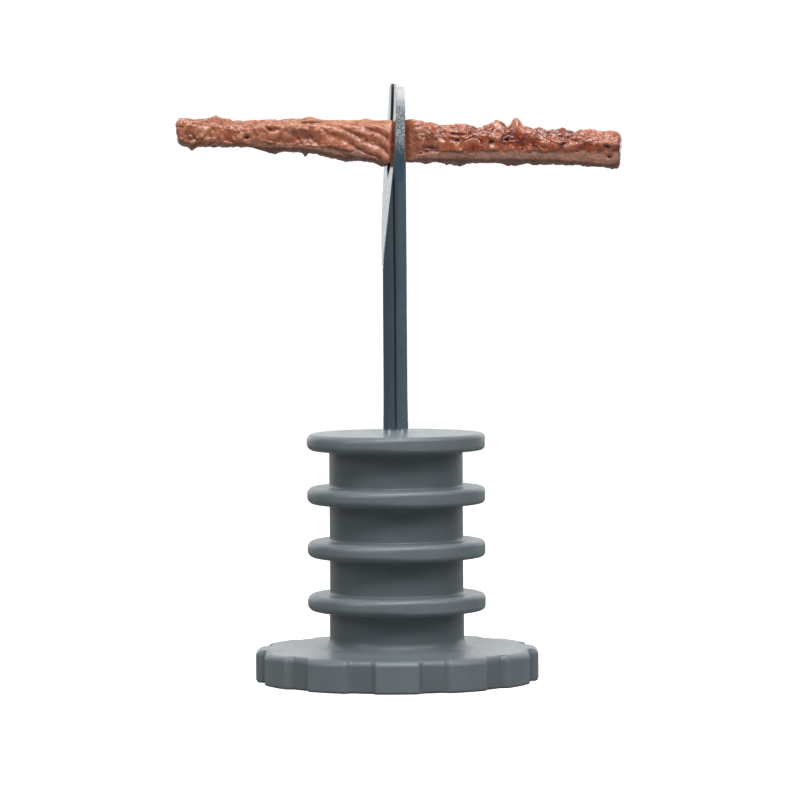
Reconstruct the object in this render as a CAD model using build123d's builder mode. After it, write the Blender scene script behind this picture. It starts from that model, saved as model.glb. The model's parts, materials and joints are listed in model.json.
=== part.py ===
from build123d import *
from math import acos, atan2, cos, degrees, radians, sin
import os

# Handlebar-end plug whose inner end carries a forked tyre repair tool.
# Frame: origin at the centre of the cap's outer face, +Z along the shaft towards the fork,
# +X along the threaded repair strip. All sizes are in millimetres and degrees.

# Cap: a thick disc with finger scallops round its edge
cap_radius = 15.9
cap_thickness = 3.67
cap_inner_edge_round = 0.75
cap_outer_edge_round = 0.5
lobe_count = 12
notch_depth = 0.68
notch_floor_half_angle = 4.4
lobe_corner_round = 0.9
notch_corner_round = 0.5

# Barrel and its four sealing fins; the two mould halves shape the fins' rims differently
barrel_radius = 7.5
barrel_foot_radius = 7.55
barrel_foot_fillet = 1.2
fin_radius = 10.0
fin_thickness = 1.88
fin_pitch = 6.0
fin_count = 4
first_fin_height = 8.85
left_rim_round = 0.84
right_rim_round = 0.45

# Coring of the moulding from the cap side: an annular hollow around a ribbed boss
disc_radius = 11.5
disc_thickness = 1.2
disc_edge_chamfer = 0.2
core_radius = 5.4
core_top = 22.0
boss_radius = 3.9
rib_count = 4
rib_thickness = 1.0

# Steel shaft with its ground fork
rod_radius = 1.5
rod_foot = 5.0
rod_foot_chamfer = 0.3
fork_top = 67.0
blade_turn = 24.0
left_flat = ((1.5, 46.6), (1.05, 53.5), (0.46, 60.0), (0.1, 67.0))
left_flat_at_strip = 0.66
right_flat = ((1.5, 52.0), (1.1, 57.2), (0.95, 61.5), (0.9, 67.0))
right_flat_at_strip = 1.05
edge_flat = ((1.5, 56.0), (1.31, 58.5), (1.19, 63.6), (0.9, 67.0))
slot_width = 0.8
slot_point_height = 56.3
slot_taper_length = 1.1
slot_point_fillet = 0.12
tip_dome_drop = 0.4

# Knurled collar that locks the shaft in the moulding
anchor_radius = 2.3
anchor_length = 10.0
anchor_groove_count = 2
anchor_groove_width = 1.2
anchor_groove_depth = 0.45
knurl_count = 18
knurl_radius = 0.18

# Repair strip: a web squeezed in the slot and two tails that fold at their roots
strip_height = 60.3
strip_depth = 3.2
web_height = 4.7
web_side_clearance = 0.05
blade_face_clearance = 0.16
web_half_length = 1.35
middle_half_width = 1.3
middle_offset = 0.15
fold_pivot_reach = 3.78
tail_root_half = 2.35
left_tip_half = 1.5
right_tip_half = 1.95
left_reach = 24.6
right_reach = 25.4
left_tip_rise = 1.2
right_tip_rise = -0.75
tail_edge_fillet = 0.9

fin_heights = [first_fin_height + fin_pitch * step for step in range(fin_count)]
barrel_top = fin_heights[-1] + fin_thickness / 2
barrel_foot_top = fin_heights[0] - fin_thickness / 2
reach_out = 3 * rod_radius
across_blade = (cos(radians(blade_turn)), sin(radians(blade_turn)), 0)
along_blade = (sin(radians(blade_turn)), -cos(radians(blade_turn)), 0)
low_centre = (Align.CENTER, Align.CENTER, Align.MIN)


def polar_point(radius, angle):
    return (radius * cos(radians(angle)), radius * sin(radians(angle)))


def tangent_arc(centre, radius, start_angle, end_angle):
    """The shorter arc about centre from one bearing to another."""
    sweep = (end_angle - start_angle + 180) % 360 - 180
    CenterArc(centre, radius, start_angle, sweep)


def scallop_side(notch_angle, side):
    """One flank of a notch: a hollow corner that runs into the rounded shoulder of a lobe."""
    shoulder_orbit = cap_radius - lobe_corner_round
    hollow_orbit = cap_radius - notch_depth + notch_corner_round
    reach = lobe_corner_round + notch_corner_round
    cosine = (shoulder_orbit**2 + hollow_orbit**2 - reach**2) / (2 * shoulder_orbit * hollow_orbit)
    swing = degrees(acos(cosine))
    hollow_angle = notch_angle + side * notch_floor_half_angle
    shoulder_angle = hollow_angle + side * swing
    hollow = polar_point(hollow_orbit, hollow_angle)
    shoulder = polar_point(shoulder_orbit, shoulder_angle)
    bearing = degrees(atan2(shoulder[1] - hollow[1], shoulder[0] - hollow[0]))
    tangent_arc(hollow, notch_corner_round, hollow_angle + 180, bearing)
    tangent_arc(shoulder, lobe_corner_round, bearing + 180, shoulder_angle)
    return shoulder_angle


def blade_plane(horizontal, side):
    """Upright plane through the axis whose local x points sideways and local y points up."""
    x_dir = Vector(*horizontal) * side
    return Plane(origin=(0, 0, 0), x_dir=x_dir, z_dir=x_dir.cross(Vector(0, 0, 1)))


os.makedirs("parts", exist_ok=True)

# Fork: round shaft, a deep and a shallow broad ground face, two narrow ground edges, an open slot
with BuildPart() as fork:
    with Locations((0, 0, rod_foot)):
        Cylinder(rod_radius, fork_top - rod_foot, align=low_centre)
    chamfer(fork.edges().sort_by(Axis.Z)[0], rod_foot_chamfer)
    for facing, side, profile in (
        (across_blade, -1, left_flat),
        (across_blade, 1, right_flat),
        (along_blade, 1, edge_flat),
        (along_blade, -1, edge_flat),
    ):
        with BuildSketch(blade_plane(facing, side)):
            with BuildLine():
                grind = Spline(*profile)
                Polyline(
                    grind @ 1,
                    (grind @ 1) + Vector(0, 1),
                    (reach_out, fork_top + 1),
                    (reach_out, profile[0][1]),
                    grind @ 0,
                )
            make_face()
        extrude(amount=reach_out, both=True, mode=Mode.SUBTRACT)
    with BuildSketch(blade_plane(along_blade, 1)) as slot:
        with BuildLine():
            Polyline(
                (0, slot_point_height),
                (slot_width / 2, slot_point_height + slot_taper_length),
                (slot_width / 2, fork_top + 1),
                (-slot_width / 2, fork_top + 1),
                (-slot_width / 2, slot_point_height + slot_taper_length),
                close=True,
            )
        make_face()
        fillet(slot.vertices().sort_by(Axis.Y)[0], slot_point_fillet)
    extrude(amount=reach_out, both=True, mode=Mode.SUBTRACT)
    with BuildSketch(Plane.XZ):
        with BuildLine():
            dome = ThreePointArc(
                (-rod_radius, fork_top - tip_dome_drop), (0, fork_top), (rod_radius, fork_top - tip_dome_drop)
            )
            Polyline(
                dome @ 1,
                (rod_radius, fork_top + 1),
                (-rod_radius, fork_top + 1),
                dome @ 0,
            )
        make_face()
        split(bisect_by=Plane.YZ)
    revolve(axis=Axis.Z, mode=Mode.SUBTRACT)
fork.part.label = "fork"
export_step(fork.part, "parts/fork.step")


# Anchor: a collar on the buried end of the shaft, grooved and knurled so the plastic grips it
with BuildPart() as shank_anchor:
    with Locations((0, 0, rod_foot)):
        Cylinder(anchor_radius, anchor_length, align=low_centre)
    chamfer(shank_anchor.edges(), rod_foot_chamfer)
    with Locations((0, 0, rod_foot)):
        Cylinder(rod_radius, anchor_length, align=low_centre, mode=Mode.SUBTRACT)
        with PolarLocations(anchor_radius, knurl_count):
            Cylinder(knurl_radius, anchor_length, align=low_centre, mode=Mode.SUBTRACT)
    for groove in range(anchor_groove_count):
        groove_height = rod_foot + anchor_length * (groove + 1) / (anchor_groove_count + 1)
        with BuildSketch(Plane.XY.offset(groove_height - anchor_groove_width / 2)):
            Circle(anchor_radius + 1)
            Circle(anchor_radius - anchor_groove_depth, mode=Mode.SUBTRACT)
        extrude(amount=anchor_groove_width, mode=Mode.SUBTRACT)
shank_anchor.part.label = "shank_anchor"
export_step(shank_anchor.part, "parts/shank_anchor.step")


# End disc: pressed into the cap's outer face to close the coring
with BuildPart() as end_disc:
    Cylinder(disc_radius, disc_thickness, align=low_centre)
    chamfer(end_disc.edges().sort_by(Axis.Z)[0], disc_edge_chamfer)
end_disc.part.label = "end_disc"
export_step(end_disc.part, "parts/end_disc.step")


# Cap: the scalloped disc, recessed for the end disc and open into the barrel's coring
with BuildPart() as scalloped_cap:
    with BuildSketch():
        with BuildLine():
            pitch = 360 / lobe_count
            for lobe in range(lobe_count):
                notch = lobe * pitch + pitch / 2
                tangent_arc(
                    (0, 0),
                    cap_radius - notch_depth,
                    notch - notch_floor_half_angle,
                    notch + notch_floor_half_angle,
                )
                lobe_end = scallop_side(notch, -1)
                lobe_start = scallop_side(notch, 1)
                tangent_arc((0, 0), cap_radius, lobe_start, lobe_end + pitch)
        make_face()
    extrude(amount=cap_thickness)
    fillet(scalloped_cap.faces().sort_by(Axis.Z)[-1].edges(), cap_inner_edge_round)
    fillet(scalloped_cap.faces().sort_by(Axis.Z)[0].edges(), cap_outer_edge_round)
    Cylinder(disc_radius, disc_thickness, align=low_centre, mode=Mode.SUBTRACT)
    Cylinder(core_radius, cap_thickness, align=low_centre, mode=Mode.SUBTRACT)
scalloped_cap.part.label = "scalloped_cap"
export_step(scalloped_cap.part, "parts/scalloped_cap.step")


# Barrel: a tube that flares into the cap, with a ribbed boss inside that holds the shaft's anchor
with BuildPart() as plug_barrel:
    with BuildSketch(Plane.XZ):
        with Locations((0, cap_thickness)):
            Rectangle(barrel_radius, barrel_top - cap_thickness, align=(Align.MIN, Align.MIN))
            Rectangle(barrel_foot_radius, barrel_foot_top - cap_thickness, align=(Align.MIN, Align.MIN))
        with BuildLine():
            foot_arc = RadiusArc(
                (barrel_foot_radius + barrel_foot_fillet, cap_thickness),
                (barrel_foot_radius, cap_thickness + barrel_foot_fillet),
                barrel_foot_fillet,
            )
            Polyline(foot_arc @ 1, (barrel_foot_radius, cap_thickness), foot_arc @ 0)
        make_face()
    revolve(axis=Axis.Z)
    with BuildSketch(Plane.XY.offset(cap_thickness)):
        Circle(core_radius)
    extrude(amount=core_top - cap_thickness, mode=Mode.SUBTRACT)
    with BuildSketch(Plane.XY.offset(cap_thickness)):
        Circle(boss_radius)
        with PolarLocations((boss_radius + core_radius) / 2, rib_count):
            Rectangle(core_radius - boss_radius + rib_thickness, rib_thickness)
    extrude(amount=core_top - cap_thickness)
    add(fork.part, mode=Mode.SUBTRACT)
    add(shank_anchor.part, mode=Mode.SUBTRACT)
plug_barrel.part.label = "plug_barrel"
export_step(plug_barrel.part, "parts/plug_barrel.step")


# Fins: four rings round the barrel, each rim rounder in the left half of the mould
for number, height in enumerate(reversed(fin_heights), start=1):
    with BuildPart() as fin:
        for side, rim_round in ((1, left_rim_round), (-1, right_rim_round)):
            half_plane = Plane(origin=(0, 0, 0), x_dir=(0, side, 0), z_dir=(side, 0, 0))
            with BuildSketch(half_plane) as rim:
                with Locations((barrel_radius, height)):
                    Rectangle(fin_radius - barrel_radius, fin_thickness, align=(Align.MIN, Align.CENTER))
                fillet(rim.vertices().group_by(Axis.X)[-1], rim_round)
            revolve(axis=Axis.Z, revolution_arc=180)
    fin.part.label = f"sealing_fin_{number}"
    export_step(fin.part, f"parts/sealing_fin_{number}.step")


# Middle of the strip: a web through the slot with a wedge of rubber against each broad face
with BuildPart() as strip_middle:
    web_foot = strip_height - web_height / 2
    left_gap = left_flat_at_strip + blade_face_clearance
    right_gap = right_flat_at_strip + blade_face_clearance
    with BuildSketch(Plane.XY.offset(web_foot)):
        with Locations((middle_offset, 0)):
            Rectangle(2 * middle_half_width, strip_depth)
        with Locations(Rotation(0, 0, blade_turn)):
            with Locations(((right_gap - left_gap) / 2, 0)):
                Rectangle(left_gap + right_gap, 4 * strip_depth, mode=Mode.SUBTRACT)
            with Locations((middle_offset, 0)):
                Rectangle(2 * web_half_length, slot_width - 2 * web_side_clearance)
    extrude(amount=web_height)
strip_middle.part.label = "strip_middle"
export_step(strip_middle.part, "parts/strip_middle.step")


# Tails: flat-sided tongues that hang from a round root and taper to a round end
for name, side, reach, tip_half, tip_rise in (
    ("strip_tail_left", -1, left_reach, left_tip_half, left_tip_rise),
    ("strip_tail_right", 1, right_reach, right_tip_half, right_tip_rise),
):
    with BuildPart() as tail:
        with BuildSketch(Plane.XZ.offset(-strip_depth / 2)):
            with Locations((middle_offset + side * fold_pivot_reach, strip_height)):
                Circle(tail_root_half)
            with Locations((side * (reach - tip_half), strip_height + tip_rise)):
                Circle(tip_half)
            make_hull()
        extrude(amount=strip_depth)
        fillet(tail.faces().filter_by(Axis.Y).edges(), tail_edge_fillet)
    tail.part.label = name
    export_step(tail.part, f"parts/{name}.step")
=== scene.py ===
import json
import math

import bmesh
import bpy
import numpy as np
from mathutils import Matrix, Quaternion, Vector


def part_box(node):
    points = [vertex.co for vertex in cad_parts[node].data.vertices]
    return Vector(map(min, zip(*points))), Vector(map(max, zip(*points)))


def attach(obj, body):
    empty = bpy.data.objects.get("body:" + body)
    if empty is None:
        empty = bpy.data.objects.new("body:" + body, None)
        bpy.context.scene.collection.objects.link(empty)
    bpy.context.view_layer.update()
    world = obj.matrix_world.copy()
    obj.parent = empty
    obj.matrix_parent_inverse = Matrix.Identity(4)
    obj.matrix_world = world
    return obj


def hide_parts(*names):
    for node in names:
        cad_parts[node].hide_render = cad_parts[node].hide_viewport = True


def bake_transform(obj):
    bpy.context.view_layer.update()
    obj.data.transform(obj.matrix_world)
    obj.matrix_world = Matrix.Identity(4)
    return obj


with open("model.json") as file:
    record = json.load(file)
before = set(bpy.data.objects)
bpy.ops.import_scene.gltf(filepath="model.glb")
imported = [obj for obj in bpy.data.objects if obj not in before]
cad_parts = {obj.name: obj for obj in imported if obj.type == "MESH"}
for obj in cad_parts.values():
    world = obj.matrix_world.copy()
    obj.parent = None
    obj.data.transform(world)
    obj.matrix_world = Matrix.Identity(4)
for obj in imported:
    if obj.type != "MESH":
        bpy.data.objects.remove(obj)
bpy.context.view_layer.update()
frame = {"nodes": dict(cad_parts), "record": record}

MM = 0.001

# ---------------------------------------------------------------- places read from the frame
cap_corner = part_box("scalloped_cap")[1]
disc_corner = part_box("end_disc")[1]
anchor_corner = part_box("shank_anchor")[1]
fork_low, fork_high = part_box("fork")
mounts = {mount["name"]: mount for mount in frame["record"]["mounts"]}

CAP_RADIUS = cap_corner.x
CAP_THICKNESS = cap_corner.z
BARREL_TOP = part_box("plug_barrel")[1].z
FIN_RADIUS = mounts["sealing_fins"]["dims"]["r_mm"] * MM
ROD_RADIUS = (fork_high.x - fork_low.x) / 2
ROD_FOOT = fork_low.z
FORK_TOP = fork_high.z
DISC_RADIUS = disc_corner.x
DISC_THICKNESS = disc_corner.z
ANCHOR_RADIUS = anchor_corner.y
ANCHOR_TOP = anchor_corner.z

# ---------------------------------------------------------------- sizes of the moulding
CAP_INNER_ROUND = 0.75 * MM
CAP_OUTER_ROUND = 0.3 * MM
LOBE_COUNT = 12
NOTCH_DEPTH = 0.68 * MM
NOTCH_FLOOR_END = math.radians(4.1)
NOTCH_SHOULDER_START = math.radians(6.9)
BARREL_RADIUS = 7.5 * MM
BARREL_FOOT_RADIUS = 7.55 * MM
BARREL_FOOT_FILLET = 1.2 * MM
FIN_THICKNESS = 1.88 * MM
FIN_PITCH = 6.0 * MM
FIN_COUNT = 4
FIN_ROOT_FILLET = 0.25 * MM
LEFT_RIM_ROUND = 0.76 * MM
RIGHT_RIM_ROUND = 0.5 * MM
HALVES_BLEND = 0.3
CORE_RADIUS = 5.4 * MM
CORE_TOP = 22.0 * MM
BOSS_RADIUS = 3.9 * MM
PARTING_RIDGE = 0.035 * MM
RIDGE_ON_BARREL = 0.1
RIDGE_ADDED_ON_FINS = 0.15
SHARP_EDGE = 0.1 * MM

# ---------------------------------------------------------------- sizes of the ground fork
BLADE_TURN = math.radians(24)
ACROSS = np.array((math.cos(BLADE_TURN), math.sin(BLADE_TURN), 0.0))
ALONG = np.array((math.sin(BLADE_TURN), -math.cos(BLADE_TURN), 0.0))
LEFT_FLAT = ((46.6, 1.5), (53.5, 1.05), (60.0, 0.46), (67.0, 0.1))
RIGHT_FLAT = ((52.0, 1.5), (57.2, 1.1), (61.5, 0.95), (67.0, 0.9))
EDGE_FLAT = ((56.0, 1.5), (58.5, 1.31), (63.6, 1.19), (67.0, 0.88))
SLOT_WIDTH = 0.8 * MM
SLOT_POINT = 56.3 * MM
SLOT_TAPER = 1.1 * MM
TIP_DOME_DROP = 0.4 * MM
TIP_EDGE = 0.12 * MM
CORNER_SHARPNESS = 60.0

# ---------------------------------------------------------------- sizes of the repair strip
STRIP_DEPTH = 1.62 * MM
STRIP_SPLIT = 0.3 * MM
SLOT_FILL = 0.36 * MM
PRESS_DOWN = 0.6 * MM
FLAT_CLEARANCE = 0.1 * MM
SPREAD_PAST_FLAT = 2.4
LEFT_REACH = 24.12 * MM
RIGHT_REACH = 25.25 * MM
LEFT_END_ROUND = 0.45 * MM
RIGHT_END_ROUND = 0.6 * MM
STRIP_ROWS = 430
STRIP_COLUMNS = 216
HOLE_DEPTH = 0.34 * MM
FOLD_SLOPE = math.tan(math.radians(29))
FOLD_WIDTH = 1.55 * MM
FOLD_HEIGHT = 0.32 * MM

# ---------------------------------------------------------------- studio
FLOOR_RADIUS = 0.32
FLOOR_COLOUR = (0.2, 0.2, 0.2)
FLOOR_SEEN_GLOW = 1.2
BACKDROP_GLOW = 0.75
GREY_CARD_GLOW = 0.06
ROOM_COLOUR = (0.62, 0.84, 1.0)
ROOM_LEFT = 0.075
ROOM_RIGHT = 0.12
SKY_SEEN = 1.05
LAMP_DISTANCE = 0.6
LAMP_AIM = (0, 0, 0.03)
CAMERA_DISTANCE = 0.512
CAMERA_HEIGHT = 0.0548
CAMERA_AIM = (0.5 * MM, 0, 31.5 * MM)
CAMERA_LENS = 205.515
CAMERA_ROLL = math.radians(-0.37)


# ---------------------------------------------------------------- mesh helpers
def mesh_object(name, vertices, faces, smooth=True):
    """A mesh object in the scene, from vertices in metres."""
    mesh = bpy.data.meshes.new(name)
    mesh.from_pydata([tuple(v) for v in vertices], [], faces)
    mesh.validate()
    mesh.update()
    if smooth:
        mesh.shade_smooth()
    else:
        mesh.shade_flat()
    piece = bpy.data.objects.new(name, mesh)
    bpy.context.scene.collection.objects.link(piece)
    return piece


def tube_faces(rows, columns):
    """Quads of a closed-around grid, with a fan at both ends; the two poles are the last two vertices."""
    faces = []
    for row in range(rows - 1):
        for column in range(columns):
            after = (column + 1) % columns
            a, b = row * columns + column, row * columns + after
            faces.append((a, b, b + columns, a + columns))
    first, last = rows * columns, rows * columns + 1
    for column in range(columns):
        after = (column + 1) % columns
        faces.append((after, column, first))
        faces.append(((rows - 1) * columns + column, (rows - 1) * columns + after, last))
    return faces


def face_outward(mesh):
    """Turns every face of a closed mesh outwards."""
    shell = bmesh.new()
    shell.from_mesh(mesh)
    bmesh.ops.recalc_face_normals(shell, faces=shell.faces)
    shell.to_mesh(mesh)
    shell.free()


def store(piece, label, grid):
    """A number at each vertex of a tube mesh, for its material; the two poles get 0."""
    attribute = piece.data.attributes.new(label, "FLOAT", "POINT")
    attribute.data.foreach_set("value", np.append(grid.ravel(), (0.0, 0.0)).astype(np.float32))


def smooth_step(value, start, end):
    """0 up to start, 1 from end, and a smooth rise between them."""
    t = np.clip((value - start) / (end - start), 0.0, 1.0)
    return t * t * (3 - 2 * t)


def lattice_noise(points, cell, seed):
    """Smooth noise between -1 and 1 at each point, from hashed values on a lattice of the given cell."""
    skew = np.array(((0.80, 0.36, -0.48), (-0.60, 0.48, -0.64), (0.0, 0.80, 0.60)))
    scaled = points @ skew / cell + 17.3 * seed
    base = np.floor(scaled).astype(np.int64)
    part = scaled - base
    part = part * part * part * (part * (part * 6 - 15) + 10)
    total = np.zeros(len(points))
    for corner in range(8):
        step = np.array((corner & 1, corner >> 1 & 1, corner >> 2 & 1))
        lattice = base + step
        mixed = lattice[:, 0] * 73856093 ^ lattice[:, 1] * 19349663 ^ lattice[:, 2] * 83492791
        mixed = (mixed ^ (mixed >> 13)) * 60493 & 0x7FFFFFFF
        mixed = (mixed ^ (mixed >> 11)) * 19661 & 0x7FFFFFFF
        value = (mixed % 20011) / 10005.5 - 1
        total += value * np.prod(np.where(step, part, 1 - part), axis=1)
    return total


# ---------------------------------------------------------------- material helpers
def map_range(nodes, links, value, limits):
    """Rescales a node's value; limits are from low, from high, to low and to high."""
    node = nodes.new("ShaderNodeMapRange")
    for socket, number in zip(("From Min", "From Max", "To Min", "To Max"), limits):
        node.inputs[socket].default_value = number
    links.new(value, node.inputs["Value"])
    return node.outputs["Result"]


class NodeMaterial:
    """A Principled material with short calls for the nodes that this scene uses."""

    def __init__(self, name):
        self.material = bpy.data.materials.new(name)
        self.material.use_nodes = True
        self.nodes = self.material.node_tree.nodes
        self.links = self.material.node_tree.links
        self.shader = self.nodes["Principled BSDF"]
        self.place = self.nodes.new("ShaderNodeTexCoord").outputs["Object"]

    def set(self, **values):
        """Sets uniform values on the shader; a socket's spaces are written as underscores."""
        for socket, value in values.items():
            self.shader.inputs[socket.replace("_", " ")].default_value = value
        return self

    def link(self, output, socket):
        self.links.new(output, self.shader.inputs[socket])

    def noise(self, scale, detail=3.0, roughness=0.5, stretch=(1, 1, 1), distortion=0.0):
        mapping = self.nodes.new("ShaderNodeMapping")
        mapping.inputs["Scale"].default_value = stretch
        self.links.new(self.place, mapping.inputs["Vector"])
        node = self.nodes.new("ShaderNodeTexNoise")
        node.inputs["Scale"].default_value = scale
        node.inputs["Detail"].default_value = detail
        node.inputs["Roughness"].default_value = roughness
        node.inputs["Distortion"].default_value = distortion
        self.links.new(mapping.outputs["Vector"], node.inputs["Vector"])
        return node.outputs["Fac"]

    def attribute(self, name):
        node = self.nodes.new("ShaderNodeAttribute")
        node.attribute_name = name
        return node.outputs["Fac"]

    def spread(self, value, low, high, to_low=0.0, to_high=1.0):
        return map_range(self.nodes, self.links, value, (low, high, to_low, to_high))

    def math(self, kind, first, second):
        node = self.nodes.new("ShaderNodeMath")
        node.operation = kind
        for socket, value in zip(node.inputs, (first, second)):
            if isinstance(value, (int, float)):
                socket.default_value = value
            else:
                self.links.new(value, socket)
        return node.outputs[0]

    def colours(self, factor, *stops):
        """A colour ramp; each stop is (position, (r, g, b))."""
        node = self.nodes.new("ShaderNodeValToRGB")
        elements = node.color_ramp.elements
        while len(elements) < len(stops):
            elements.new(1.0)
        for element, (position, colour) in zip(elements, stops):
            element.position = position
            element.color = (*colour, 1)
        self.links.new(factor, node.inputs["Fac"])
        return node.outputs["Color"]

    def mix(self, factor, first, second):
        """Blends two colours; each input is a number, a colour or another node's output."""
        node = self.nodes.new("ShaderNodeMix")
        node.data_type = "RGBA"
        sockets = [s for s in node.inputs if s.enabled]
        for socket, value in zip(sockets, (factor, first, second)):
            if isinstance(value, (int, float)):
                socket.default_value = value
            elif isinstance(value, tuple):
                socket.default_value = (*value, 1)
            else:
                self.links.new(value, socket)
        return next(s for s in node.outputs if s.enabled)

    def bump(self, height, strength, distance, below=None):
        node = self.nodes.new("ShaderNodeBump")
        node.inputs["Strength"].default_value = strength
        node.inputs["Distance"].default_value = distance
        self.links.new(height, node.inputs["Height"])
        if below is not None:
            self.links.new(below, node.inputs["Normal"])
        return node.outputs["Normal"]


def handle_plastic(name, base, speck):
    """Grey moulded plastic: a fine spark-eroded grain, faint clouding, slightly uneven gloss, and painted
    shade that darkens the floors of the cap's notches.
    """
    m = NodeMaterial(name)
    cloud = m.noise(260, 4, 0.55)
    grain = m.noise(9000, 2, 0.6)
    tone = m.colours(cloud, (0.3, tuple(c * 0.93 for c in base)), (0.7, tuple(c * 1.07 for c in base)))
    fine = m.spread(grain, 0.35, 0.65)
    # painted shade: the floors of the cap's notches are mixed towards a darker grey by their depth
    tone = m.mix(m.math("MULTIPLY", m.attribute("notch_painted_shade"), 0.3), tone, tuple(c * 0.45 for c in base))
    m.link(m.mix(m.math("MULTIPLY", fine, 0.25), tone, speck), "Base Color")
    m.link(m.spread(m.noise(1200, 3), 0.3, 0.7, 0.31, 0.41), "Roughness")
    coarse = m.bump(m.noise(1500, 3, 0.5), 0.10, 0.00005)
    m.link(m.bump(grain, 0.35, 0.00003, coarse), "Normal")
    m.set(Specular_IOR_Level=0.45, IOR=1.5)
    return m.material


def polished_steel():
    """Drawn and polished rod: mirror-like, with hairlines along its length."""
    m = NodeMaterial("steel_polished")
    hair = m.noise(9000, 2, 0.6, stretch=(1, 1, 0.012))
    m.link(m.colours(m.noise(300, 3), (0.3, (0.84, 0.90, 0.96)), (0.7, (0.94, 0.98, 1.0))), "Base Color")
    m.link(m.spread(hair, 0.3, 0.7, 0.06, 0.12), "Roughness")
    m.link(m.bump(hair, 0.06, 0.00001), "Normal")
    m.set(Metallic=1.0)
    return m.material


def broad_face_steel():
    """The hollow-ground broad faces: bright, with fine grinding lines across the blade."""
    m = NodeMaterial("steel_broad_face")
    lines = m.noise(7000, 3, 0.6, stretch=(0.06, 0.06, 1))
    m.link(m.colours(lines, (0.3, (0.66, 0.69, 0.70)), (0.7, (0.78, 0.80, 0.81))), "Base Color")
    m.link(m.spread(lines, 0.3, 0.7, 0.24, 0.36), "Roughness")
    m.link(m.bump(lines, 0.15, 0.00001), "Normal")
    m.set(Metallic=1.0)
    return m.material


def edge_face_steel():
    """The narrow ground faces: smooth at the foot with a painted blue-grey reflection, pitted above with
    dark and bright specks painted as pit shade and glints, and painted white at the tip as a highlight.
    """
    m = NodeMaterial("steel_edge_face")
    split = m.nodes.new("ShaderNodeSeparateXYZ")
    m.links.new(m.place, split.inputs[0])
    # painted reflection and highlight: the base colour changes with height, blue-grey at the foot and white
    # at the tip
    pitted_part = m.spread(split.outputs["Z"], 58.2 * MM, 61.0 * MM)
    tip_highlight_part = m.spread(split.outputs["Z"], 64.2 * MM, 65.4 * MM)
    scratch = m.noise(5600, 4, 0.7)
    # painted glints and shade: bright and dark specks in the base colour of the pitted zone
    pitted = m.colours(scratch, (0.40, (0.16, 0.19, 0.22)), (0.60, (0.90, 0.92, 0.93)))
    grey = m.mix(pitted_part, (0.50, 0.66, 0.76), pitted)
    m.link(m.mix(tip_highlight_part, grey, (0.96, 0.96, 0.96)), "Base Color")
    rough = m.mix(pitted_part, (0.12, 0.12, 0.12), (0.28, 0.28, 0.28))
    m.link(m.mix(tip_highlight_part, rough, (0.42, 0.42, 0.42)), "Roughness")
    m.link(m.bump(m.math("MULTIPLY", scratch, pitted_part), 0.8, 0.00007), "Normal")
    m.set(Metallic=1.0)
    return m.material


def slot_steel():
    """The sawn walls of the slot: dull and streaked along the cut, with a dark base colour that paints the
    shade inside the narrow slot.
    """
    m = NodeMaterial("steel_slot")
    streaks = m.noise(6000, 3, 0.6, stretch=(0.1, 0.1, 1))
    # painted shade: a near-black base colour for the walls inside the slot
    m.link(m.colours(streaks, (0.3, (0.12, 0.11, 0.11)), (0.7, (0.24, 0.23, 0.23))), "Base Color")
    m.link(m.spread(streaks, 0.3, 0.7, 0.4, 0.55), "Roughness")
    m.set(Metallic=1.0)
    return m.material


def knurled_metal():
    """The buried collar: dull plated steel with uneven gloss."""
    m = NodeMaterial("anchor_steel")
    m.link(m.colours(m.noise(900, 4), (0.3, (0.42, 0.40, 0.36)), (0.7, (0.60, 0.57, 0.50))), "Base Color")
    m.link(m.spread(m.noise(2500, 4), 0.3, 0.7, 0.25, 0.45), "Roughness")
    m.set(Metallic=1.0)
    return m.material


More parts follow.
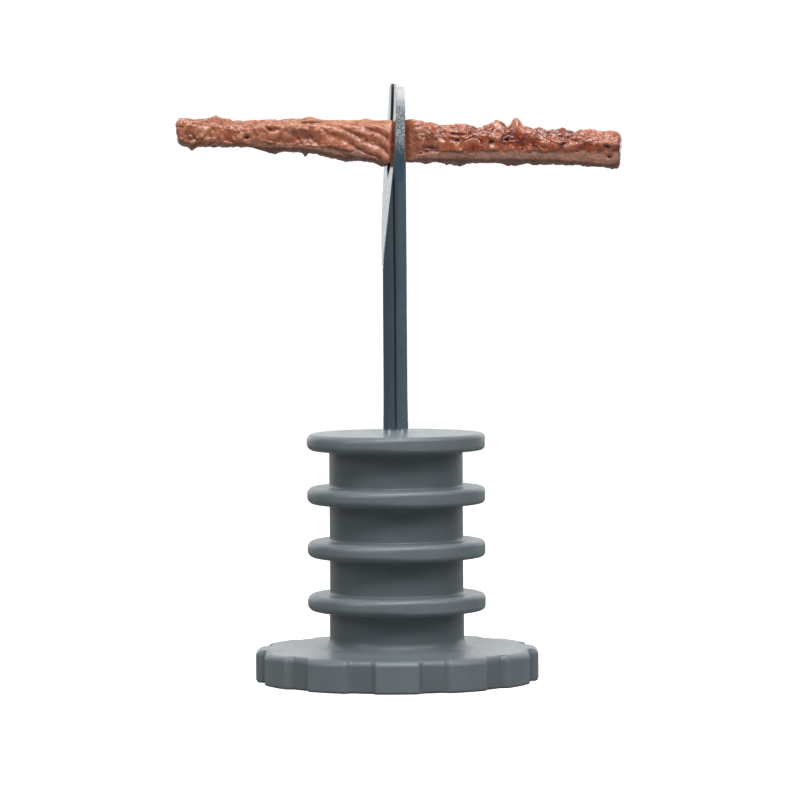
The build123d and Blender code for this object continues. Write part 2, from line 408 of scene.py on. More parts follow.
def repair_rubber():
    """Tacky red-brown butyl rubber: a random mottle, orange high spots and dark creases painted from the
    relief as light and shade, holes painted near-black as shade, a wet gloss and a dull cut face.
    """
    m = NodeMaterial("repair_rubber")
    dull, pit, height, worn = (m.attribute(n) for n in ("cut_face", "pit", "relief", "worn"))
    mottle = m.noise(900, 6, 0.66, distortion=0.8)
    # painted light and shade: the stored relief lightens the high spots towards orange and darkens the
    # creases, on top of a random mottle
    tone = m.math("ADD", m.math("MULTIPLY", mottle, 0.6), m.math("MULTIPLY", height, 0.45))
    warm = m.colours(
        tone,
        (0.26, (0.16, 0.022, 0.009)),
        (0.42, (0.32, 0.068, 0.026)),
        (0.56, (0.42, 0.125, 0.060)),
        (0.70, (0.50, 0.180, 0.095)),
        (0.90, (0.62, 0.28, 0.18)),
    )
    streaks = m.colours(
        m.noise(1500, 4, 0.6, stretch=(1, 1, 0.4)),
        (0.38, (0.39, 0.110, 0.048)),
        (0.62, (0.62, 0.31, 0.18)),
    )
    warm = m.mix(m.math("MULTIPLY", worn, 0.65), warm, streaks)
    brown = m.colours(
        m.noise(1700, 6, 0.72),
        (0.30, (0.20, 0.086, 0.052)),
        (0.5, (0.33, 0.150, 0.098)),
        (0.72, (0.44, 0.23, 0.16)),
    )
    body = m.mix(dull, warm, brown)
    # painted shade: the holes are coloured a near-black red
    m.link(m.mix(pit, body, (0.10, 0.018, 0.008)), "Base Color")
    gloss = m.spread(m.noise(900, 3), 0.38, 0.62, 0.08, 0.32)
    gloss = m.mix(worn, gloss, (0.42, 0.42, 0.42))
    m.link(m.mix(dull, gloss, (0.62, 0.62, 0.62)), "Roughness")
    lumps = m.bump(m.noise(1100, 4, 0.55, distortion=0.6), 0.6, 0.0004)
    grain = m.bump(m.noise(3600, 4, 0.6), 0.35, 0.00008, lumps)
    m.link(grain, "Normal")
    coat = m.mix(worn, (0.8, 0.8, 0.8), (0.15, 0.15, 0.15))
    m.link(m.mix(dull, coat, (0.0, 0.0, 0.0)), "Coat Weight")
    m.set(Specular_IOR_Level=0.6, Coat_Roughness=0.1, Subsurface_Weight=0.06, Subsurface_Scale=0.0006)
    m.shader.inputs["Subsurface Radius"].default_value = (1.0, 0.3, 0.15)
    return m.material


def paint(piece, *materials):
    """Puts the materials in the piece's own slots."""
    piece.data.materials.clear()
    for material in materials:
        piece.data.materials.append(material)


# ---------------------------------------------------------------- the moulded handle
def arc_points(centre, radius, start, end, steps):
    """Points (r, z) on an arc; angles in degrees, 0 along +r and 90 along +z."""
    return [
        (centre[0] + radius * math.cos(math.radians(a)), centre[1] + radius * math.sin(math.radians(a)))
        for a in np.linspace(start, end, steps)
    ]


def handle_profile(rim_round):
    """Half-section of the moulding, from the foot of the shaft's bore round the outside to the boss."""
    edge, root, fillet = SHARP_EDGE, FIN_ROOT_FILLET, BARREL_FOOT_FILLET
    rim_centre = FIN_RADIUS - rim_round
    points = [(0.0, ROD_FOOT), (ANCHOR_RADIUS, ROD_FOOT)]
    points += [(ANCHOR_RADIUS, ANCHOR_TOP), (ROD_RADIUS, ANCHOR_TOP)]
    points += arc_points((ROD_RADIUS + edge, BARREL_TOP - edge), edge, 180, 90, 4)
    points += [(r, BARREL_TOP) for r in np.linspace(ROD_RADIUS + 3 * edge, rim_centre - edge, 12)]
    for fin in range(FIN_COUNT):
        top = BARREL_TOP - fin * FIN_PITCH
        foot = top - FIN_THICKNESS
        points += arc_points((rim_centre, top - rim_round), rim_round, 90, 0, 10)
        points += arc_points((rim_centre, foot + rim_round), rim_round, 0, -90, 10)
        below = fin + 1 < FIN_COUNT
        wall = BARREL_RADIUS if below else BARREL_FOOT_RADIUS
        points += [(r, foot) for r in np.linspace(rim_centre - edge, wall + root + edge, 5)]
        points += arc_points((wall + root, foot - root), root, 90, 180, 5)
        if below:
            next_top = top - FIN_PITCH
            points += [(wall, z) for z in np.linspace(foot - 2 * root, next_top + 2 * root, 6)]
            points += arc_points((wall + root, next_top + root), root, 180, 270, 5)
            points += [(r, next_top) for r in np.linspace(wall + root + edge, rim_centre - edge, 5)]
    fillet_top = CAP_THICKNESS + fillet
    points += [(BARREL_FOOT_RADIUS, z) for z in np.linspace(foot - 2 * root, fillet_top + edge, 4)]
    points += arc_points((BARREL_FOOT_RADIUS + fillet, fillet_top), fillet, 180, 270, 12)
    outer, inner_round, outer_round = CAP_RADIUS, CAP_INNER_ROUND, CAP_OUTER_ROUND
    flat_radii = np.linspace(BARREL_FOOT_RADIUS + fillet + edge, outer - inner_round - edge, 14)
    points += [(r, CAP_THICKNESS) for r in flat_radii]
    points += arc_points((outer - inner_round, CAP_THICKNESS - inner_round), inner_round, 90, 0, 10)
    points += [(outer, z) for z in np.linspace(CAP_THICKNESS - inner_round - edge, outer_round + edge, 5)]
    points += arc_points((outer - outer_round, outer_round), outer_round, 0, -90, 8)
    points += [(r, 0.0) for r in np.linspace(outer - outer_round - edge, DISC_RADIUS + 2 * edge, 6)]
    points += arc_points((DISC_RADIUS + edge, edge), edge, 270, 180, 4)
    points += [(DISC_RADIUS, DISC_THICKNESS), (CORE_RADIUS, DISC_THICKNESS), (CORE_RADIUS, CORE_TOP)]
    points += [(BOSS_RADIUS, CORE_TOP), (BOSS_RADIUS, CAP_THICKNESS), (0.0, CAP_THICKNESS)]
    return np.array(points)


def around_angles():
    """Bearings round the axis, closer together at the two parting lines, which lie on the Y axis."""
    parting_lines = (math.pi / 2, 3 * math.pi / 2)
    even = np.linspace(0, 2 * math.pi, 960, endpoint=False)
    near = np.radians((-0.32, -0.24, -0.16, -0.08, 0.0, 0.08, 0.16, 0.24, 0.32))
    away = [b for b in even if min(abs(b - line) for line in parting_lines) > math.radians(0.38)]
    return np.array(sorted(away + [line + step for line in parting_lines for step in near]))


def scallop_depth(bearing):
    """How far the cap's edge lies inside its radius: lobes face the axes, notches lie between them."""
    pitch = 2 * math.pi / LOBE_COUNT
    from_notch = np.abs((bearing % pitch) - pitch / 2)
    return NOTCH_DEPTH * (1 - smooth_step(from_notch, NOTCH_FLOOR_END, NOTCH_SHOULDER_START))


def moulded_handle():
    """The grey moulding in one skin: two half-sections blended round the axis, with scallops on the cap."""
    bearings = around_angles()
    left, right = handle_profile(LEFT_RIM_ROUND), handle_profile(RIGHT_RIM_ROUND)
    inner_rows = left[1:-1]
    share = smooth_step(np.cos(bearings), -HALVES_BLEND, HALVES_BLEND)
    from_parting = np.degrees(np.abs(np.cos(bearings)))
    ridge = PARTING_RIDGE * (1 - smooth_step(from_parting, 0.02, 0.28))
    radii = np.outer(left[1:-1, 0], 1 - share) + np.outer(right[1:-1, 0], share)
    heights = np.outer(left[1:-1, 1], 1 - share) + np.outer(right[1:-1, 1], share)
    outside = (inner_rows[:, 1] > 0.2 * MM) & (inner_rows[:, 0] > BARREL_RADIUS - 0.01 * MM)
    outside &= inner_rows[:, 1] < BARREL_TOP - 0.2 * MM
    flange = smooth_step(inner_rows[:, 0], BARREL_RADIUS + 0.5 * MM, BARREL_RADIUS + 1.5 * MM)
    radii += np.outer(outside * (RIDGE_ON_BARREL + RIDGE_ADDED_ON_FINS * flange), ridge)
    cap_rows = (inner_rows[:, 1] < CAP_THICKNESS + 0.01 * MM) & (inner_rows[:, 0] > BARREL_FOOT_RADIUS)
    pull = smooth_step(inner_rows[:, 0], DISC_RADIUS + 0.4 * MM, CAP_RADIUS - CAP_INNER_ROUND) * cap_rows
    radii -= np.outer(pull, scallop_depth(bearings))
    # how deep each notch lies, stored for the painted shade that darkens the notch floors
    notch_painted_shade = np.outer(smooth_step(pull, 0.6, 1.0), scallop_depth(bearings) / NOTCH_DEPTH)
    x, y = radii * np.cos(bearings), radii * np.sin(bearings)
    vertices = np.stack((x, y, heights), axis=2).reshape(-1, 3)
    poles = np.array(((0, 0, left[0, 1]), (0, 0, left[-1, 1])))
    faces = tube_faces(len(inner_rows), len(bearings))
    piece = mesh_object("handle_moulding", np.vstack((vertices, poles)), faces)
    piece.data.set_sharp_from_angle(angle=math.radians(40))
    store(piece, "notch_painted_shade", notch_painted_shade)
    return piece


# ---------------------------------------------------------------- the ground fork
def ground_to(height, points):
    """How far from the axis a ground face lies at each height; points are (height, distance) in mm."""
    heights, distances = zip(*points)
    curve = np.polyfit(np.array(heights) - heights[0], distances, 3)
    above = height / MM - heights[0]
    return np.where(above > 0, np.polyval(curve, np.maximum(above, 0)), distances[0] - 0.1 * above) * MM


def fork_loft():
    """The shaft as a loft round the axis: a circle cut by four ground faces, with a domed tip."""
    columns = 360
    turn = np.linspace(0, 2 * math.pi, columns, endpoint=False)
    heights = np.concatenate((
        np.linspace(ROD_FOOT + 0.3 * MM, 46 * MM, 30),
        np.linspace(46.2 * MM, FORK_TOP - 2 * MM, 150),
        np.linspace(FORK_TOP - 1.95 * MM, FORK_TOP - 0.6 * MM, 20),
    ))
    cos, sin = np.cos(turn), np.sin(turn)

    def reach(z):
        """The radius at each bearing and height: the least of the rod's and the flats' distances."""
        z = np.atleast_1d(z)[:, None]
        wall = np.where(cos < 0, ground_to(z, LEFT_FLAT), ground_to(z, RIGHT_FLAT))
        cuts = [
            np.full((len(z), columns), ROD_RADIUS),
            wall / np.maximum(np.abs(cos), 1e-6),
            ground_to(z, EDGE_FLAT) / np.maximum(np.abs(sin), 1e-6),
        ]
        return sum(cut**-CORNER_SHARPNESS for cut in cuts) ** (-1 / CORNER_SHARPNESS)

    radii = [np.full(columns, ROD_RADIUS - 0.3 * MM)]
    levels = [np.full(columns, ROD_FOOT)]
    for z, r in zip(heights, reach(heights)):
        radii.append(r)
        levels.append(np.full(columns, z))
    top = reach(FORK_TOP - 0.5 * MM)[0]
    dome = FORK_TOP - TIP_DOME_DROP * (top / ROD_RADIUS) ** 2
    for bend in np.linspace(0, 90, 7):
        lean = math.radians(bend)
        radii.append(top - TIP_EDGE * (1 - math.cos(lean)))
        levels.append(dome - TIP_EDGE * (1 - math.sin(lean)))
    for share in (0.85, 0.6, 0.35, 0.12):
        inner = (top - TIP_EDGE) * share
        radii.append(inner)
        levels.append(FORK_TOP - TIP_DOME_DROP * (inner / ROD_RADIUS) ** 2)
    radii, levels = np.array(radii), np.array(levels)
    across, along = radii * cos, -radii * sin
    vertices = across[..., None] * ACROSS + along[..., None] * ALONG
    vertices[..., 2] = levels
    poles = np.array(((0, 0, ROD_FOOT), (0, 0, FORK_TOP)))
    faces = tube_faces(len(radii), columns)
    return mesh_object("fork_ground", np.vstack((vertices.reshape(-1, 3), poles)), faces)


def slot_cutter():
    """A prism for the fork's slot, pointed at its foot."""
    half = SLOT_WIDTH / 2
    outline = (
        (0.0, SLOT_POINT), (half, SLOT_POINT + SLOT_TAPER), (half, FORK_TOP + 2 * MM),
        (-half, FORK_TOP + 2 * MM), (-half, SLOT_POINT + SLOT_TAPER),
    )
    vertices = []
    for reach in (-4 * MM, 4 * MM):
        vertices += [tuple(ALONG * a + ACROSS * reach + np.array((0, 0, z))) for a, z in outline]
    sides = [(i, (i + 1) % 5, (i + 1) % 5 + 5, i + 5) for i in range(5)]
    return mesh_object("slot_cutter", vertices, [(4, 3, 2, 1, 0), (5, 6, 7, 8, 9)] + sides, smooth=False)


def fork_material_index(face):
    """The slot of a face's material: 0 polished, 1 broad face, 2 narrow face or tip, 3 slot wall."""
    centre, normal = np.array(face.center), np.array(face.normal)
    aside, ahead = abs(normal @ ACROSS), abs(normal @ ALONG)
    from_middle = abs(centre @ ALONG)
    inside_rod = math.hypot(centre[0], centre[1]) < ROD_RADIUS * 0.998
    if centre[2] > LEFT_FLAT[0][0] * MM and aside > 0.985 and abs(normal[2]) < 0.2 and inside_rod:
        return 1
    if centre[2] > EDGE_FLAT[0][0] * MM and ahead > 0.985 and from_middle > 0.6 * MM:
        return 2
    if centre[2] > SLOT_POINT and from_middle < SLOT_WIDTH / 2 + 0.01 * MM and ahead > 0.3:
        return 3
    return 2 if normal[2] > 0.5 else 0


def ground_fork():
    """The fork with its slot cut out and a material on each kind of face."""
    piece, cutter = fork_loft(), slot_cutter()
    face_outward(piece.data)
    face_outward(cutter.data)
    cut = piece.modifiers.new("slot", "BOOLEAN")
    cut.object = cutter
    cut.operation = "DIFFERENCE"
    cut.solver = "EXACT"
    graph = bpy.context.evaluated_depsgraph_get()
    mesh = bpy.data.meshes.new_from_object(piece.evaluated_get(graph))
    piece.modifiers.clear()
    piece.data = mesh
    bpy.data.objects.remove(cutter)
    paint(piece, polished_steel(), broad_face_steel(), edge_face_steel(), slot_steel())
    for face in mesh.polygons:
        face.material_index = fork_material_index(face)
        face.use_smooth = True
    mesh.set_sharp_from_angle(angle=math.radians(24))
    return piece


# ---------------------------------------------------------------- the repair strip
def follow(x, *points):
    """Smooth line through given (x, value) points in millimetres; x and the result are in metres."""
    xs = np.array([p[0] for p in points]) * MM
    ys = np.array([p[1] for p in points]) * MM
    index = np.clip(np.searchsorted(xs, x) - 1, 0, len(xs) - 2)
    t = smooth_step(x, xs[index], xs[index + 1])
    return ys[index] * (1 - t) + ys[index + 1] * t


def mound(x, around, at, bearing, height, length, spread):
    """A smooth lump, in metres; at, height and length are in millimetres, bearing and spread in degrees."""
    off = np.angle(np.exp(1j * (around - math.radians(bearing))))
    return height * MM * np.exp(-(((x - at * MM) / (length * MM)) ** 2) - (off / math.radians(spread)) ** 2)


def hollow(points, x, z, half_length, half_height, lean=0.0):
    """1 in the middle of a hole in the strip's front, 0 outside it; sizes in mm, lean in degrees."""
    along, up = points[..., 0] / MM - x, points[..., 2] / MM - z
    turn = math.radians(lean)
    a = (along * math.cos(turn) + up * math.sin(turn)) / half_length
    b = (up * math.cos(turn) - along * math.sin(turn)) / half_height
    ragged = 1 + 0.45 * lattice_noise(points.reshape(-1, 3), 0.35 * MM, 9).reshape(a.shape)
    return np.exp(-((a * a + b * b) * ragged) ** 1.3) * (points[..., 1] < 0)


def left_outline(x):
    """The height of the left half's upper and lower edge at each place along it."""
    top = follow(x, (-25, 63.25), (-20, 63.2), (-17, 62.75), (-12, 63.08), (-7, 62.92), (0.5, 62.85))
    bottom = follow(
        x,
        (-25, 60.8), (-23.2, 60.15), (-16.5, 59.9), (-14.5, 59.5),
        (-10.5, 59.35), (-5, 58.5), (-2.5, 58.25), (0.5, 58.1),
    )
    return top, bottom


def right_outline(x):
    """The same for the right half."""
    top = follow(x, (0, 62.65), (3.2, 62.55), (5.3, 62.1), (15, 61.9), (19, 61.5), (25.6, 61.1))
    bottom = follow(
        x, (0, 58.3), (2.5, 58.25), (5.5, 58.05), (17, 57.9), (20.5, 57.65), (24, 57.35), (25.6, 57.75)
    )
    return top, bottom


def left_lumps(x, around):
    """The lumps that stand out of the left half."""
    total = mound(x, around, -20.0, 90, 0.32, 0.7, 34) + mound(x, around, -18.5, 90, 0.2, 0.5, 30)
    total += mound(x, around, -9.4, 90, 0.32, 0.8, 30) + mound(x, around, -3.1, 90, 0.14, 0.5, 26)
    total += mound(x, around, -22.6, 270, 0.3, 0.35, 26) + mound(x, around, -13.7, 268, 0.3, 0.8, 30)
    total += mound(x, around, -9.9, 272, 0.38, 0.28, 22) + mound(x, around, -5.2, 270, 0.18, 0.9, 34)
    total += mound(x, around, -1.3, 272, 0.5, 0.9, 34)
    total += mound(x, around, -23.9, 20, 0.25, 0.7, 30) + mound(x, around, -21.2, -5, 0.3, 0.55, 24)
    total += mound(x, around, -19.6, 28, 0.26, 0.5, 22) + mound(x, around, -17.0, 2, 0.3, 0.7, 26)
    return total + mound(x, around, -11.0, 30, 0.25, 1.3, 24) + mound(x, around, -14.8, 24, 0.28, 0.8, 24)


def right_lumps(x, around):
    """The lumps that stand out of the right half, and the notch between its two highest."""
    total = mound(x, around, 7.8, 88, 0.34, 0.8, 34) + mound(x, around, 11.5, 82, 0.62, 0.85, 36)
    total += mound(x, around, 13.75, 84, 0.98, 0.62, 32) + mound(x, around, 16.6, 88, 0.24, 0.5, 26)
    total += mound(x, around, 18.6, 90, 0.44, 0.7, 30) + mound(x, around, 21.1, 90, 0.1, 0.7, 30)
    total += mound(x, around, 24.4, 82, 0.22, 0.8, 30) + mound(x, around, 7.5, 270, 0.3, 0.55, 26)
    total += mound(x, around, 15.8, 270, 0.26, 0.7, 26) + mound(x, around, 24.7, 262, 0.2, 0.6, 30)
    total += mound(x, around, 14.6, 34, 0.34, 1.3, 20) + mound(x, around, 10.2, 38, 0.3, 0.8, 22)
    total += mound(x, around, 21.0, 30, 0.3, 0.8, 24) + mound(x, around, 4.2, 40, 0.24, 0.9, 26)
    return total - mound(x, around, 12.65, 88, 0.3, 0.3, 50)


def left_holes(points):
    """The holes and slits in the left half's front."""
    return [
        0.3 * hollow(points, -22.9, 61.1, 0.8, 0.6),
        hollow(points, -13.8, 61.85, 0.5, 0.16, -14),
        hollow(points, -9.0, 62.65, 1.6, 0.1, 4),
        hollow(points, -16.4, 61, 0.3, 0.2, 20),
    ]


def right_holes(points):
    """The holes and slits in the right half's front."""
    return [
        hollow(points, 7.1, 60.5, 0.24, 0.2),
        hollow(points, 7.0, 61.25, 0.85, 0.13, -8),
        hollow(points, 10.8, 60.25, 0.24, 0.2),
        hollow(points, 10.5, 59.7, 0.2, 0.14),
        hollow(points, 12.2, 61.9, 0.42, 0.14, -10),
        hollow(points, 12.6, 60.6, 0.3, 0.17, 24),
        hollow(points, 16.0, 59.75, 1.15, 0.14, -2),
        hollow(points, 19.0, 59.95, 0.5, 0.3, 34),
        hollow(points, 23.75, 59.75, 0.36, 0.22, -16),
        hollow(points, 24.1, 58.55, 0.26, 0.16, -10),
        hollow(points, 14.3, 62.1, 0.26, 0.12, -20),
        hollow(points, 17.8, 61.35, 0.5, 0.12, -4),
        hollow(points, 4.0, 59.7, 0.8, 0.1, -10),
    ]


def pinch(points):
    """Squeezes the rubber to the slot's width between the prongs, with room to be pressed down the slot."""
    across, along = points @ ACROSS, points @ ALONG
    left_face = -ground_to(points[..., 2], LEFT_FLAT)
    right_face = ground_to(points[..., 2], RIGHT_FLAT)
    outside = np.maximum(np.maximum(left_face - across, across - right_face) - FLAT_CLEARANCE, 0)
    room = np.clip((points[..., 2] - PRESS_DOWN - SLOT_POINT) / SLOT_TAPER, 0.1, 1)
    limit = SLOT_FILL * room + SPREAD_PAST_FLAT * outside
    held = np.abs(along)
    squeezed = held * limit / (held**6 + limit**6 + 1e-30) ** (1 / 6)
    shift = (np.sign(along) * squeezed - along)[..., None]
    return points + shift * ALONG


def strip_form(side, reach, outline, end_round):
    """The smooth form of one half: grids of bearings, points, outward normals and how open it is."""
    travel = np.linspace(0, 1, STRIP_ROWS)
    x_line = side * (STRIP_SPLIT * side + (reach - STRIP_SPLIT * side) * travel)
    around = np.linspace(0, 2 * math.pi, STRIP_COLUMNS, endpoint=False)
    x, turn = np.meshgrid(x_line, around, indexing="ij")
    top, bottom = outline(x)
    middle, half = (top + bottom) / 2, (top - bottom) / 2
    from_end = np.maximum(reach - np.abs(x), 0)
    closing = np.sqrt(np.clip(1 - (1 - np.minimum(from_end / end_round, 1)) ** 2.6, 0, 1))
    closing = 0.8 + 0.2 * closing
    cos, sin = np.cos(turn), np.sin(turn)
    low_front = np.clip(cos, 0, 1) * smooth_step(-sin, -0.5, 0.5)
    power = 2 / (2.5 + 3.0 * low_front)
    y = -STRIP_DEPTH * closing * np.sign(cos) * np.abs(cos) ** power
    z = middle + half * closing * np.sign(sin) * np.abs(sin) ** power
    base = np.stack((x, y, z), axis=-1)
    along = np.gradient(base, axis=0)
    round_way = np.roll(base, -1, axis=1) - np.roll(base, 1, axis=1)
    normal = np.cross(round_way, along) * side
    normal /= np.linalg.norm(normal, axis=-1, keepdims=True) + 1e-12
    outward = np.stack((np.zeros_like(x), y, z - middle), axis=-1)
    normal *= np.sign((normal * outward).sum(axis=-1, keepdims=True) + 1e-15)
    return turn, base, normal, closing


def strip_surface(side, turn, base, cut_line):
    """The rubber's relief before its lumps and holes, and grids that say where it is cut, worn and wet."""
    x, z = base[..., 0], base[..., 2]

    def noise(cell, seed, squash=(1, 1, 1)):
        return lattice_noise(base.reshape(-1, 3) * np.array(squash), cell * MM, seed).reshape(x.shape)

    front = smooth_step(-base[..., 1], -0.2 * MM, 0.6 * MM)
    below = cut_line(x) - z + 0.16 * MM * noise(0.7, 5)
    cut = smooth_step(below, -0.05 * MM, 0.12 * MM) * front
    lump = 0.3 * noise(1.5, 1, (0.55, 1, 1)) + 0.3 * (np.abs(noise(1.0, 2, (0.6, 1, 1))) - 0.25)
    crease = np.exp(-((noise(1.1, 11, (0.5, 1, 1)) / 0.09) ** 2)) * smooth_step(noise(1.9, 12), -0.1, 0.25)
    grain = 0.12 * noise(0.36, 3) + 0.05 * noise(0.18, 4) - 0.2 * crease
    rough = (lump + grain) * MM
    smooth_cut = (0.035 * noise(1.6, 6) + 0.018 * noise(0.3, 7)) * MM - 0.05 * MM
    relief = rough * (1 - cut) + smooth_cut * cut
    wet = np.zeros_like(x)
    if side < 0:
        fold = (z - 60.7 * MM + FOLD_SLOPE * (x + 3.3 * MM) + 0.35 * MM * noise(1.5, 8)) / FOLD_WIDTH
        ridge = np.abs(np.sin(math.pi * fold)) ** 0.8 - 0.6
        near = smooth_step(x, -10 * MM, -5 * MM) * front * (1 - 0.6 * cut)
        relief = relief * (0.72 - 0.4 * near) + FOLD_HEIGHT * ridge * near
        smooth_top = smooth_step(x, -13 * MM, -9 * MM) * smooth_step(np.sin(turn), 0.45, 0.8)
        relief *= 1 - 0.75 * smooth_top
        worn = np.maximum(smooth_top, 0.5) * (1 - cut)
    else:
        worn = 0.6 * (1 - smooth_step(x, 2.5 * MM, 6.5 * MM)) * front * (1 - cut)
        relief += 0.06 * MM * noise(0.5, 13, (1, 1, 0.3)) * worn
        wet = smooth_step(x, 5 * MM, 7.5 * MM) * front * (1 - cut)
        wet *= smooth_step(noise(1.4, 14, (0.7, 1, 1)), -0.35, 0.15)
        wet *= 1 - smooth_step(z, 61.2 * MM, 62.2 * MM)
        relief *= 1 - 0.45 * wet
    return relief, cut, worn, wet


def strip_half(name, side, reach, outline, lumps, holes, cut_line, end_round):
    """One half of the strip from the middle of the slot to its tip, as one closed mesh."""
    turn, base, normal, closing = strip_form(side, reach, outline, end_round)
    relief, cut, worn, wet = strip_surface(side, turn, base, cut_line)
    x = base[..., 0]
    relief = relief + lumps(x, turn)
    pit = np.zeros_like(x)
    for hole in holes(base):
        pit = np.maximum(pit, hole)
    relief = relief - HOLE_DEPTH * pit
    fade = smooth_step(np.abs(x - STRIP_SPLIT), 0.0, 1.6 * MM)
    relief = relief * (0.08 + 0.92 * fade) * (0.5 + 0.5 * closing)
    points = pinch(base + normal * relief[..., None])
    end = points[-1].mean(axis=0) + np.array((side * 0.12 * MM, 0, 0))
    start = points[0].mean(axis=0)
    vertices = np.vstack((points.reshape(-1, 3), start, end))
    piece = mesh_object(name, vertices, tube_faces(STRIP_ROWS, STRIP_COLUMNS))
    face_outward(piece.data)
    # the relief is stored for the material's painted light on high spots and painted shade in creases
    height = np.clip((relief - lumps(x, turn) * 0.5) / (0.5 * MM) + 0.4, 0, 1)
    height = 0.55 + (height - 0.55) * (0.2 + 0.8 * fade) - 0.34 * wet
    store(piece, "cut_face", cut)
    # the holes' mask, stored for the painted shade inside them
    store(piece, "pit", 0.85 * np.clip(pit, 0, 1))
    store(piece, "relief", height)
    store(piece, "worn", worn)
    return piece


def left_cut_line(x):
    """The upper edge of the left half's cut face."""
    return follow(x, (-25, 58.8), (-18, 59.4), (-16, 60.5), (-8, 60), (-4, 59.4), (-1.5, 58.4), (0.5, 57.3))


def right_cut_line(x):
    """The upper edge of the right half's cut face."""
    return follow(x, (0, 57.3), (2, 58.6), (4.2, 59.35), (11, 59.4), (25.6, 59.1))


# ---------------------------------------------------------------- build and place the pieces
moulding = moulded_handle()
paint(moulding, handle_plastic("handle_grey", (0.150, 0.178, 0.190), (0.195, 0.225, 0.235)))
fins = [f"sealing_fin_{number + 1}" for number in range(FIN_COUNT)]
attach(moulding, "handle")
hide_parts("scalloped_cap", "plug_barrel", *fins)

steel = ground_fork()
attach(steel, "handle")
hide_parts("fork")

rubber = repair_rubber()
left_strip = strip_half(
    "strip_left", -1, LEFT_REACH, left_outline, left_lumps, left_holes, left_cut_line, LEFT_END_ROUND
)
right_strip = strip_half(
    "strip_right", 1, RIGHT_REACH, right_outline, right_lumps, right_holes, right_cut_line, RIGHT_END_ROUND
)
for strip, side, tail, replaced in (
    (left_strip, -1, "left_tail", ("strip_tail_left", "strip_middle")),
    (right_strip, 1, "right_tail", ("strip_tail_right",)),
):
    paint(strip, rubber)
    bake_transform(strip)
    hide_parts(*replaced)

paint(frame["nodes"]["end_disc"], handle_plastic("end_disc_plastic", (0.13, 0.15, 0.16), (0.17, 0.19, 0.2)))
paint(frame["nodes"]["shank_anchor"], knurled_metal())


# ---------------------------------------------------------------- floor, backdrop and cards
def stage_sheet(name, corners, material):
    """A flat sheet of the studio, from its corner points."""
    sheet = mesh_object(name, corners, [tuple(range(len(corners)))], smooth=False)
    paint(sheet, material)
    return sheet


def upright(y, left, right, low, high):
    """The corners of an upright rectangle that faces the object."""
    return [(left, y, low), (right, y, low), (right, y, high), (left, y, high)]


def plain_material(name, colour, glow, glow_colour=(1, 1, 1)):
    """A matt material for the studio, with a steady glow."""
    m = NodeMaterial(name)
    m.set(Base_Color=(*colour, 1), Roughness=0.9, Emission_Color=(*glow_colour, 1), Emission_Strength=glow)
    return m


table_white = plain_material("floor_white", FLOOR_COLOUR, 0.0)
seen_directly = table_white.nodes.new("ShaderNodeLightPath").outputs["Is Camera Ray"]
table_white.link(table_white.math("MULTIPLY", seen_directly, FLOOR_SEEN_GLOW), "Emission Strength")
floor_edge = [
    (FLOOR_RADIUS * math.cos(bearing), FLOOR_RADIUS * math.sin(bearing), 0.0)
    for bearing in np.linspace(0, 2 * math.pi, 96, endpoint=False)
]
stage_sheet("studio_floor", floor_edge, table_white.material)
backdrop = stage_sheet(
    "studio_backdrop",
    upright(0.42, -0.58, 0.58, 0.0, 0.6),
    plain_material("backdrop_white", (0.9, 0.9, 0.9), BACKDROP_GLOW).material,
)
dark_card = stage_sheet(
    "studio_dark_card",
    [(-0.09, -0.62, -0.1), (0.1, -0.62, -0.1), (0.1, -0.62, 0.03), (0.22, -0.62, 0.06),
     (0.22, -0.62, 0.3), (-0.17, -0.62, 0.3), (-0.17, -0.62, 0.06), (-0.09, -0.62, 0.03)],
    plain_material("card_black", (0.012, 0.012, 0.012), 0.0).material,
)
grey_card = stage_sheet(
    "studio_grey_card",
    upright(-0.61, 0.08, 0.4, 0.034, 0.3),
    plain_material("card_grey", (0.02, 0.02, 0.02), GREY_CARD_GLOW, ROOM_COLOUR).material,
)
for card in (backdrop, dark_card, grey_card):
    card.visible_camera = False


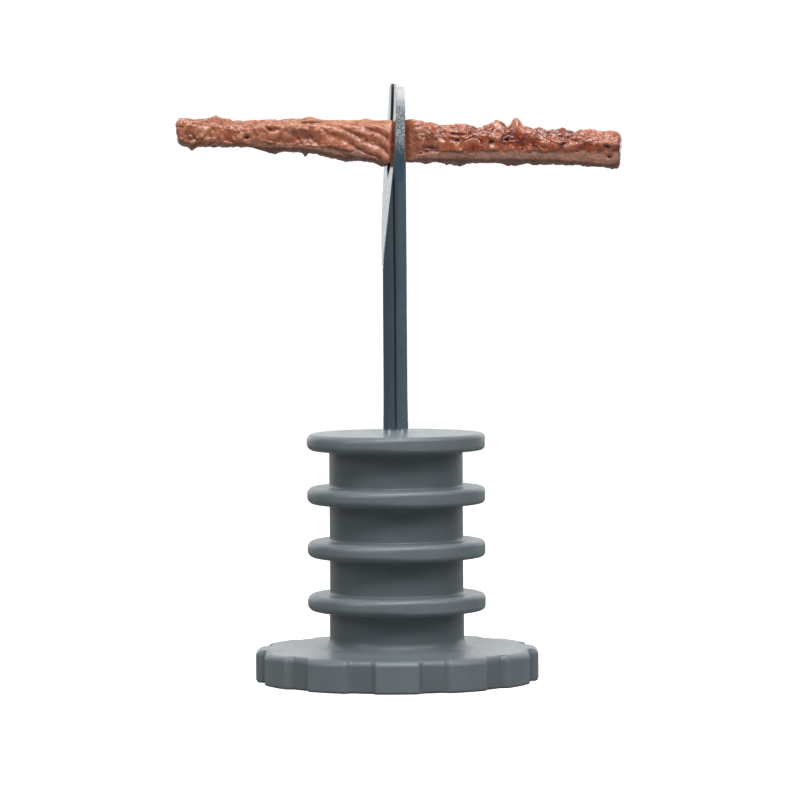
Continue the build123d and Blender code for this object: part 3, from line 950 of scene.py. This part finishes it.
# ---------------------------------------------------------------- room light
def room_world():
    """A world that is seen as white, and lights the object with a dim glow that grows to the right."""
    world = bpy.data.worlds.new("studio")
    world.use_nodes = True
    nodes, links = world.node_tree.nodes, world.node_tree.links
    nodes.clear()

    def background(colour):
        node = nodes.new("ShaderNodeBackground")
        node.inputs["Color"].default_value = (*colour, 1)
        return node

    room, sky = background(ROOM_COLOUR), background((1, 1, 1))
    sky.inputs["Strength"].default_value = SKY_SEEN
    split = nodes.new("ShaderNodeSeparateXYZ")
    links.new(nodes.new("ShaderNodeTexCoord").outputs["Generated"], split.inputs[0])
    strength = map_range(nodes, links, split.outputs["X"], (-1, 1, ROOM_LEFT, ROOM_RIGHT))
    links.new(strength, room.inputs["Strength"])
    both = nodes.new("ShaderNodeMixShader")
    links.new(nodes.new("ShaderNodeLightPath").outputs["Is Camera Ray"], both.inputs["Fac"])
    links.new(room.outputs[0], both.inputs[1])
    links.new(sky.outputs[0], both.inputs[2])
    links.new(both.outputs[0], nodes.new("ShaderNodeOutputWorld").inputs["Surface"])
    return world


bpy.context.scene.world = room_world()


# ---------------------------------------------------------------- lamps
def softbox(name, azimuth, elevation, width, height, power):
    """A rectangular area light that shines at the object and isn't seen by the camera.

    Azimuth 0 is in front and grows to the right; elevation is above the table, both in degrees.
    """
    a, e = math.radians(azimuth), math.radians(elevation)
    place = Vector((math.sin(a) * math.cos(e), -math.cos(a) * math.cos(e), math.sin(e))) * LAMP_DISTANCE
    lamp = bpy.data.lights.new(name, "AREA")
    lamp.shape = "RECTANGLE"
    lamp.size = width
    lamp.size_y = height
    lamp.energy = power
    stand = bpy.data.objects.new(name, lamp)
    stand.location = place
    stand.rotation_mode = "QUATERNION"
    stand.rotation_quaternion = (Vector(LAMP_AIM) - place).to_track_quat("-Z", "Y")
    stand.visible_camera = False
    bpy.context.scene.collection.objects.link(stand)


softbox("overhead", 0, 68, 0.6, 0.3, 3.1)
softbox("key", 8, 48, 0.3, 0.12, 0.5)
softbox("glint_left", -16, 52, 0.08, 0.05, 0.2)
softbox("glint_right", 22, 44, 0.1, 0.07, 0.34)
softbox("front_right", 58, 32, 0.14, 0.22, 0.6)
softbox("front_left", -58, 30, 0.14, 0.2, 0.5)

# ---------------------------------------------------------------- camera
eye = Vector((0, -CAMERA_DISTANCE, CAMERA_HEIGHT))
view = (Vector(CAMERA_AIM) - eye).to_track_quat("-Z", "Y")
lens = bpy.data.cameras.new("camera")
lens.sensor_width = 36
lens.lens = CAMERA_LENS
lens.clip_start = 0.02
lens.clip_end = 20
camera = bpy.data.objects.new("camera", lens)
bpy.context.scene.collection.objects.link(camera)
camera.rotation_mode = "QUATERNION"
camera.location = eye
camera.rotation_quaternion = view @ Quaternion((0, 0, 1), CAMERA_ROLL)
bpy.context.scene.camera = camera
bpy.context.scene.view_settings.view_transform = "Standard"
